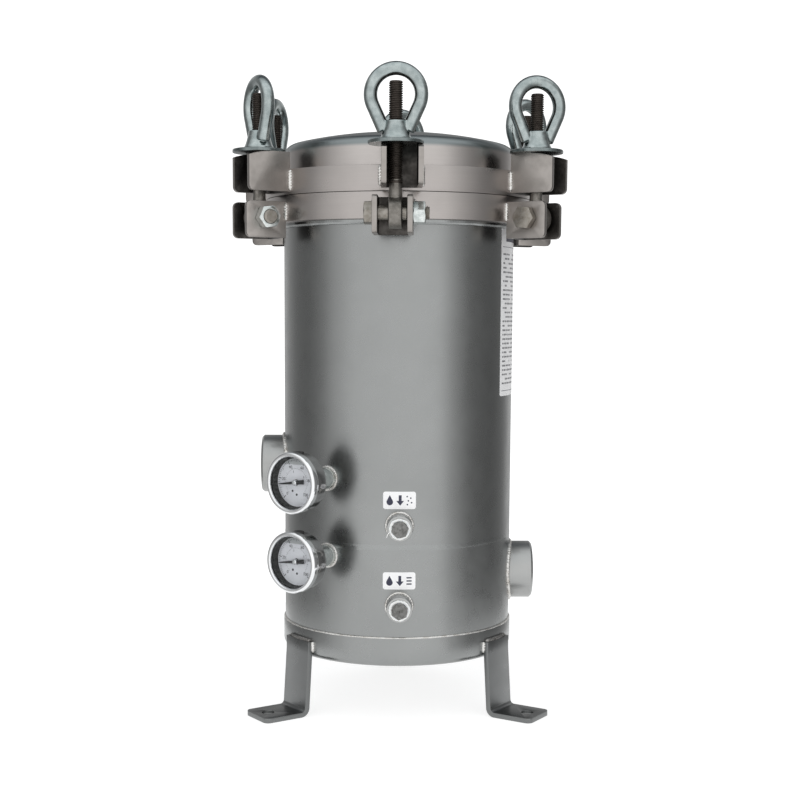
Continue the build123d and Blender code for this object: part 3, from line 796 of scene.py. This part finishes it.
def clevis_pins():
    for k in bolt_numbers:
        swing = joints[f"bolt_{k}_swing"]
        tangent = direction(swing["axis"])
        circle_r = hypot(*swing["pos_m"][:2]) / mm
        middle = Vector((sin(tangent), -cos(tangent), 0)) * sqrt(circle_r ** 2 - clevis_set_in ** 2)
        middle.z = swing["pos_m"][2] / mm
        lie = upright(middle, tangent) @ Matrix.Rotation(radians(90), 4, "Y")
        lie = lie @ Matrix.Rotation(radians(random.uniform(0, 60)), 4, "Z")
        near, far = -clevis_half, clevis_half + clevis_nut_height
        thread_low, end, crest_r = 12.0, far + 3.5, bolt_r - 0.02
        parts = [hexagon(flats, near - 8.0, near - 0.6, 0.02, high_chamfer=False),
                 turned([(0.01, near - 0.8), (9.0, near - 0.8), (9.0, near), (0.01, near)], count=64),
                 turned([(bolt_r, near - 0.5), (bolt_r, thread_low)], count=40),
                 screw_thread(crest_r, thread_pitch, thread_low, end), disc(thread_root_r - 0.02, end, 40)]
        built(f"clevis_bolt_{k}_turned", parts, lie, "dull_steel", "vessel", "clevis_bolts")
        nut = hexagon(flats, clevis_half, far, bolt_r + 0.05)
        built(f"clevis_nut_{k}_turned", [nut], lie, "bright_zinc", "vessel", "clevis_nuts")


# Ports
def saddle(r, lift, steps=96):
    """Where a round coupling meets the shell, in the coupling's own frame."""
    line = [((r + lift) * cos(a), (r + lift) * sin(a)) for a in angles(steps)]
    return [(x, y, sqrt((shell_r + lift) ** 2 - x * x)) for x, y in line]


def ports():
    pipe_pitch = 25.4 / 11.5
    face = high("outlet_coupling").x
    for name, out in (("inlet", (-1, 0, 0)), ("outlet", (1, 0, 0))):
        here = facing(mounts[name]["pos_m"][2], out)
        r = (high(f"{name}_coupling").z - low(f"{name}_coupling").z) / 2
        bead = weld(saddle(r, 0.4), 2.4, pitch=2.8, closed=True)
        built(f"{name}_weld", [bead], here, "weld_bead")
        crest_r = mounts[name]["dims"]["r_mm"] - 1.15
        thread = screw_thread(crest_r, pipe_pitch, face - 24.0, face - 2.4, count=72, inside=True)
        built(f"{name}_thread", [thread], here, "coupling_stainless")


def small_coupling_welds():
    for chamber in chambers:
        for kind, mover, way, r, bead_r in (
                ("drain", "plug", 1, 12.2, 1.5), ("gauge", "needle", -1, 10.5, 1.6)):
            joint = joints[f"{chamber}_{kind}_{mover}_turn"]
            here = facing(joint["pos_m"][2], [way * v for v in joint["axis"]])
            bead = weld(saddle(r, 0.3, 72), bead_r, pitch=2.0, closed=True)
            built(f"{chamber}_{kind}_weld", [bead], here, "weld_bead")


# Drain plugs
plug_depth = 14.0


def frayed_tape(chamber, here, face):
    """Sealing tape squeezed out of the joint, with a ragged edge and one loose strand."""
    bore_r, start = 8.2, face - plug_depth
    phase = random.uniform(0, 2 * pi)

    def ragged(a, size):
        return size * (0.5 * sin(3 * a + phase) + 0.3 * sin(8 * a + 2 * phase) + 0.2 * sin(19 * a))

    loops = []
    for share, r, z in ((0, 7.5, start), (0, bore_r, start), (0, bore_r, face - 3.2), (0.3, 9.3, face - 2.6),
                        (1, 9.9, face - 1.7), (1, 10.0, face - 0.8), (0.8, 9.5, face - 0.2), (0.4, 8.4, face),
                        (0.1, 7.5, face - 0.1)):
        loop = []
        for a in angles(120):
            out = r + ragged(a, 0.42 * share)
            loop.append((out * cos(a), out * sin(a), z + ragged(a + 1, 0.25 * share)))
        loops.append(loop)
    parts = [skin(loops, closed=True)]
    if chamber == "dirty":
        strand = [(-8.6, -2.0, face - 1.4), (-10.2, -3.4, face - 1.0), (-11.4, -5.6, face - 1.6),
                  (-12.4, -8.2, face - 2.6)]
        parts.append(sweep(spaced(strand, 0.5), lambda run, a: 0.75 - 0.05 * run, count=8, flat=0.4))
    built(f"{chamber}_drain_tape_wrap", parts, here, "seal_tape", f"{chamber}_drain_tape_body",
          f"{chamber}_drain_tape", sharp=60)


def drain_plugs():
    for chamber in chambers:
        joint = joints[f"{chamber}_drain_plug_turn"]
        here = facing(joint["pos_m"][2], joint["axis"])
        face = -low(f"{chamber}_drain_tape").y
        head_end = -low(f"{chamber}_drain_plug").y
        frayed_tape(chamber, here, face)
        turn = Matrix.Rotation(radians(random.uniform(5, 25)), 4, "Z")
        head = hexagon(14.3, face - 0.6, head_end, 0.02, low_chamfer=False)
        start, end = face - plug_depth, face - 0.4
        rod = turned([(0.01, start), (6.4, start), (7.2, start + 1.0), (7.3, end), (0.01, end)])
        built(f"{chamber}_drain_plug_turned", [head, rod], here @ turn, "plug_steel",
              f"{chamber}_drain_plug_body", f"{chamber}_drain_plug")


# Pressure gauges
dial_zero = 225.0
dial_span = 270.0
needle_rest = 187.0
print_rise = 0.12
case_r = 27.0


def dial_angle(share):
    return radians(dial_zero - dial_span * share)


def dial_spot(share, r):
    return r * cos(dial_angle(share)), r * sin(dial_angle(share))


def radial_tick(share, r_in, r_out, width, z):
    """One mark on the dial: a thin raised bar along a radius."""
    a = dial_angle(share)
    along, across = Vector((cos(a), sin(a))), Vector((-sin(a), cos(a)))
    ring = [along * r + across * (s * width / 2) for r, s in ((r_in, -1), (r_out, -1), (r_out, 1), (r_in, 1))]
    return skin([[(p.x, p.y, level) for p in ring] for level in (z, z + print_rise)])


def number_mesh(text, size, centre, z):
    """A printed number, as a thin raised mesh."""
    curve = bpy.data.curves.new("number", "FONT")
    curve.body, curve.size, curve.extrude = text, size, print_rise / 2
    curve.align_x, curve.align_y = "CENTER", "CENTER"
    curve.resolution_u = 3
    holder = added("number", curve)
    graph = bpy.context.evaluated_depsgraph_get()
    mesh = bpy.data.meshes.new_from_object(holder.evaluated_get(graph))
    points = [(v.co.x + centre[0], v.co.y + centre[1], v.co.z + z + print_rise / 2) for v in mesh.vertices]
    faces = [tuple(p.vertices) for p in mesh.polygons]
    bpy.data.objects.remove(holder)
    bpy.data.meshes.remove(mesh)
    bpy.data.curves.remove(curve)
    return points, faces


def dial_print(dial_z):
    """Two scales with their numbers, and two stop pins under the middle."""
    outer_r, inner_r = 21.8, 12.6
    parts = []
    for i in range(51):
        length = 3.4 if i % 10 == 0 else 2.6 if i % 5 == 0 else 1.7
        parts.append(radial_tick(i / 50, outer_r - length, outer_r, 0.36 if i % 10 else 0.7, dial_z))
    for i in range(36):
        parts.append(radial_tick(i / 35, inner_r, inner_r + (0.7 if i % 5 else 1.3), 0.3, dial_z))
    parts += [number_mesh(str(20 * i), 4.2, dial_spot(i / 5, 15.6), dial_z) for i in range(6)]
    parts += [number_mesh(str(i), 2.6, dial_spot(i / 7, 10.4), dial_z) for i in range(1, 7, 2)]
    for x, y in ((-4.6, -8.2), (0.4, -11.4)):
        points, faces = turned([(1.15, dial_z), (1.15, dial_z + print_rise)], count=20)
        parts.append(([(p[0] + x, p[1] + y, p[2]) for p in points], faces))
    return parts


def pointer(z):
    """A tapered pointer with a broad tail, cut from thin sheet."""
    outline = [(19.5, 0.3), (17.0, 0.6), (2.6, 1.3), (0.0, 2.2), (-2.6, 1.5), (-3.2, 1.9), (-11.2, 2.1),
               (-11.5, 1.8)]
    ring = outline + [(x, -y) for x, y in reversed(outline)]
    return skin([[(x, y, level) for x, y in ring] for level in (z, z + 0.5)])


def gauges():
    """Z points out of a gauge's face, and depths are radii from the vessel's axis."""
    for chamber in chambers:
        joint = joints[f"{chamber}_gauge_needle_turn"]
        here = facing(joint["pos_m"][2], [-v for v in joint["axis"]])
        reach = hypot(*joint["pos_m"][:2]) / mm
        front = reach + 7.4
        back = front - 22.2
        glass_back, glass_front = front - 4.0, front - 2.0
        dial_z = front - 10.5
        can = [(6.3, back), (24.5, back), *arc((24.5, back + 2.5), 2.5, -90, 0, 6), (case_r, front - 9.0),
               (case_r, front - 4.1), (25.8, front - 4.1), (25.8, back + 1.2), (6.3, back + 1.2)]
        bezel = [(27.05, front - 7.5), (28.2, front - 7.5), *arc((28.2, front - 6.7), 0.8, -90, 0, 4),
                 (29.0, front - 2.6), *arc((26.5, front - 2.5), 2.5, 0, 90, 10), (25.4, front - 0.15),
                 (24.7, front - 0.9), (24.6, front - 1.6), (24.6, glass_front), (27.05, glass_front)]
        lens = [(0.01, glass_back), (27.0, glass_back), (27.0, glass_front), (24.3, glass_front),
                (0.01, glass_front)]
        wall = [(22.6, dial_z + 0.1), (25.7, dial_z + 0.1), (25.7, front - 4.1), (24.4, front - 4.1)]
        plate = [(3.0, dial_z - 0.8), (25.8, dial_z - 0.8), (25.8, dial_z), (3.0, dial_z)]
        for name, profile, count, closed, finish, *replaced in (
                ("case_can", can, 160, True, "case_chrome", f"{chamber}_gauge_case"),
                ("bezel_ring", bezel, 160, True, "chrome", f"{chamber}_gauge_bezel"),
                ("lens_disc", lens, 128, False, "gauge_glass", f"{chamber}_gauge_lens"),
                ("inner_ring", wall, 128, True, "gasket_rubber"),
                ("dial_plate", plate, 96, True, "dial_enamel", f"{chamber}_gauge_dial")):
            piece = built(f"{chamber}_gauge_{name}", [turned(profile, count, closed)], here, finish, "vessel",
                          *replaced)
            piece.visible_shadow = name != "lens_disc"
        built(f"{chamber}_gauge_dial_print", dial_print(dial_z), here, "dial_ink")
        turn = here @ Matrix.Rotation(radians(needle_rest), 4, "Z")
        needle_body = f"{chamber}_gauge_needle_body"
        built(f"{chamber}_gauge_pointer", [pointer(reach - 0.25)], turn, "needle_black", needle_body,
              f"{chamber}_gauge_needle")
        hub = [(0.01, dial_z - 3.0), (2.4, dial_z - 3.0), (2.4, reach + 0.5), (1.9, reach + 1.1),
               (0.01, reach + 1.25)]
        built(f"{chamber}_gauge_pointer_hub", [turned(hub)], turn, "chrome", needle_body)
        gauge_socket(chamber, here, back)
        top = here @ Matrix.Translation((0, case_r, front - 13.5)) @ Matrix.Rotation(-pi / 2, 4, "X")
        button = [(0.01, -1.2), (4.95, -1.2), (4.95, 0.6), *arc((4.1, 0.75), 0.85, 0, 90, 4), (2.2, 1.3),
                  (0.01, 1.3)]
        built(f"{chamber}_gauge_rubber_plug", [turned(button)], top, "gasket_rubber", "vessel",
              "gauge_fill_plugs")


def gauge_socket(chamber, here, back):
    """The gauge's stem: a plain rod in the coupling, then a hexagon up to the case."""
    face, stem_r = shell_r + 20.0, 6.1
    grip = hexagon(14.0, face + 0.6, back + 0.4, 0.02)
    rods = [turned([(0.01, start), (stem_r, start), (stem_r, end), (0.01, end)])
            for start, end in ((face - 10, face + 1.0), (back, back + 8.4))]
    built(f"{chamber}_gauge_socket_turned", [grip, *rods], here, "brass", "vessel", "gauge_sockets")


# Labels
label_back, label_front = shell_r + 0.02, shell_r + 0.2
ink_back, ink_front = shell_r + 0.18, shell_r + 0.24


def patch(spans, r_in, r_out, azimuth, z_middle, columns=24):
    """A patch wrapped on the shell. Spans are (height, left, right) along the wall, in millimetres."""
    loops = []
    for v, left, right in spans:
        row = [radians(azimuth) + (left + (right - left) * i / columns) / shell_r for i in range(columns + 1)]
        ring = [(r_out, a) for a in row] + [(r_in, a) for a in reversed(row)]
        loops.append([(r * sin(a), -r * cos(a), z_middle + v) for r, a in ring])
    points, faces = skin(loops, caps=False)
    last = 2 * columns + 1
    for first in (0, len(points) - last - 1):
        faces += [(first + i, first + i + 1, first + last - i - 1, first + last - i) for i in range(columns)]
    return points, faces


def label(name, spans, azimuth, z):
    built(name, [patch(spans, label_back, label_front, azimuth, z)], to_metres, "label_vinyl")


def printed(name, prints, azimuth, z, finish):
    """Thin raised ink: a list of (spans, columns)."""
    parts = [patch(spans, ink_back, ink_front, azimuth, z, columns) for spans, columns in prints]
    built(name, parts, to_metres, finish)


def rounded_spans(width, height, corner, rows=5, u=0.0, v=0.0):
    """Spans of a rectangle with round corners, its middle at (u, v)."""
    spans = []
    for i in range(rows + 1):
        a = pi / 2 * i / rows
        spans.append((-height / 2 + corner * (1 - cos(a)), corner * (1 - sin(a))))
    spans += [(-y, inset) for y, inset in reversed(spans)]
    return [(v + y, u - width / 2 + inset, u + width / 2 - inset) for y, inset in spans]


def droplet_spans(r, u, v):
    """Spans of a water drop: a round foot that runs up to a point."""
    tip, top = 0.02, v + 2.1 * r
    rows = [(v + r * sin(a), max(r * cos(a), tip)) for a in [radians(15 * i - 90) for i in range(9)]]
    neck, half = rows[-1]
    rows += [(neck + (top - neck) * share, half * (1 - share) + tip) for share in (0.25, 0.5, 0.75, 1.0)]
    return [(y, u - reach, u + reach) for y, reach in rows]


def arrow_spans(u, v, size):
    """Spans of an arrow that points down."""
    neck, stem = v - size * 0.1, size * 0.28
    rows = ((v - size, 0.02), (neck, size * 0.75), (neck + 0.01, stem), (v + size, stem))
    return [(y, u - reach, u + reach) for y, reach in rows]


def drain_labels():
    """A white label over each drain: a drop, a down arrow, then specks for dirty or bars for clean."""
    specks = [rounded_spans(1.5, 1.5, 0.7, 3, u, v) for u, v in
              ((7.2, 3.6), (10.6, 2.2), (8.3, -0.4), (11.4, -2.2), (7.4, -4.0))]
    bars = [rounded_spans(5.2, 1.3, 0.6, 3, 9.4, v) for v in (3.0, 0.0, -3.0)]
    for chamber, signs in zip(chambers, (specks, bars)):
        z = joints[f"{chamber}_drain_plug_turn"]["pos_m"][2] / mm + 24.2
        label(f"{chamber}_drain_label", rounded_spans(31.0, 16.5, 2.2), 0.0, z)
        spans = [droplet_spans(3.1, -9.2, -1.6), arrow_spans(0.6, 0.0, 4.9), *signs]
        printed(f"{chamber}_drain_label_print", [(s, 6) for s in spans], 0.0, z, "label_ink")


def rating_label():
    """A tall label on the right with ruled rows and plain bars where its text would be."""
    azimuth, z_low, z_high = 74.5, 313.0, 476.0
    width, height, z = 62.0, z_high - z_low, (z_low + z_high) / 2
    label("rating_label", rounded_spans(width, height, 2.0), azimuth, z)
    rows, edge, gap = 30, width / 2 - 4.0, 1.3
    bars = []
    for i in range(rows):
        v = height / 2 - 26.0 - i * (height - 34.0) / rows
        left = -edge
        while left < edge - 4.0:
            run = min(random.uniform(2.5, 9.0), edge - left)
            if random.random() < 0.88:
                bars.append((rounded_spans(run, 1.7, 0.3, 2, left + run / 2, v), 4))
            left += run + gap
    printed("rating_label_print", bars, azimuth, z, "label_grey")
    rules = [(rounded_spans(width - 6.0, 0.5, 0.1, 2, 0, v), 16)
             for v in (height / 2 - 19.0, 5.0 - height / 2)]
    heading = (rounded_spans(40.0, 5.5, 0.8, 2, 0, height / 2 - 11.0), 12)
    printed("rating_label_heading", [*rules, heading], azimuth, z, "label_ink")


# Stage, light and camera
def studio_floor():
    """A round white board under the feet, as bright as the white room round it."""
    finish = Finish("studio_floor")
    finish.set(Roughness=0.9, Emission_Color=(1.0, 1.0, 1.0, 1.0), Emission_Strength=0.8)
    finish.colour(finish.mix(finish.noise(400.0), (0.40, 0.40, 0.40), (0.38, 0.38, 0.38)))
    piece = shape("studio_floor", [disc(500.0, -0.4, 128)], to_metres)
    piece.data.materials.append(finish.material)


def studio_light():
    """A white room with a broad soft light in front and darker walls at the sides."""
    world = bpy.data.worlds.new("studio")
    bpy.context.scene.world = world
    world.use_nodes = True
    room = Nodes(world.node_tree)
    x, y, z = room.split(room.node("TexCoord").outputs["Generated"])
    turn = room.math("ARCTAN2", x, room.math("MULTIPLY", y, -1.0))
    ramp = room.node("ValToRGB")
    walls = ramp.color_ramp
    walls.interpolation = "EASE"
    stops = ((0.0, 0.25), (0.06, 0.55), (0.12, 0.38), (0.16, 0.24), (0.22, 0.20), (0.27, 0.32), (0.32, 0.68),
             (0.38, 0.96), (0.5, 1.0), (0.61, 1.0), (0.66, 0.5), (0.71, 0.22), (0.80, 0.16), (0.86, 0.24),
             (0.92, 0.6), (1.0, 0.25))
    while len(walls.elements) < len(stops):
        walls.elements.new(0.5)
    for element, (place, level) in zip(walls.elements, stops):
        element.position = place
        element.color = (level, level, level, 1.0)
    room.link(room.remap(turn, -pi, pi), ramp.inputs[0])
    ceiling = room.mix(room.remap(y, -0.05, 0.45), (0.94, 0.96, 0.97), (0.10, 0.11, 0.12))
    light = room.mix(room.remap(z, 0.42, 0.75), ramp.outputs[0], ceiling)
    seen = room.node("LightPath").outputs["Is Camera Ray"]
    back = room.tree.nodes["Background"]
    room.link(room.mix(seen, light, (1.0, 1.0, 1.0)), back.inputs["Color"])
    back.inputs["Strength"].default_value = 1.2


def camera():
    distance, height = 1.4509, 0.3922
    off_axis, pitch, roll = radians(-1.0), radians(6.73), radians(0.29)
    data = bpy.data.cameras.new("camera")
    data.lens = 64.4
    data.shift_x, data.shift_y = 0.0031, 0.1034
    holder = added("camera", data)
    holder.location = (distance * sin(off_axis), -distance * cos(off_axis), height)
    look = Vector((-sin(off_axis) * cos(pitch), cos(off_axis) * cos(pitch), -sin(pitch)))
    aim = look.to_track_quat("-Z", "Y").to_matrix().to_4x4()
    holder.rotation_euler = (aim @ Matrix.Rotation(roll, 4, "Z")).to_euler()
    bpy.context.scene.camera = holder


cad_finishes()
softened_nodes()
vessel_welds()
leg_welds()
lug_welds()
swing_bolts()
clevis_pins()
ports()
small_coupling_welds()
drain_plugs()
gauges()
drain_labels()
rating_label()
studio_floor()
studio_light()
camera()
bpy.context.scene.view_settings.view_transform = "Standard"
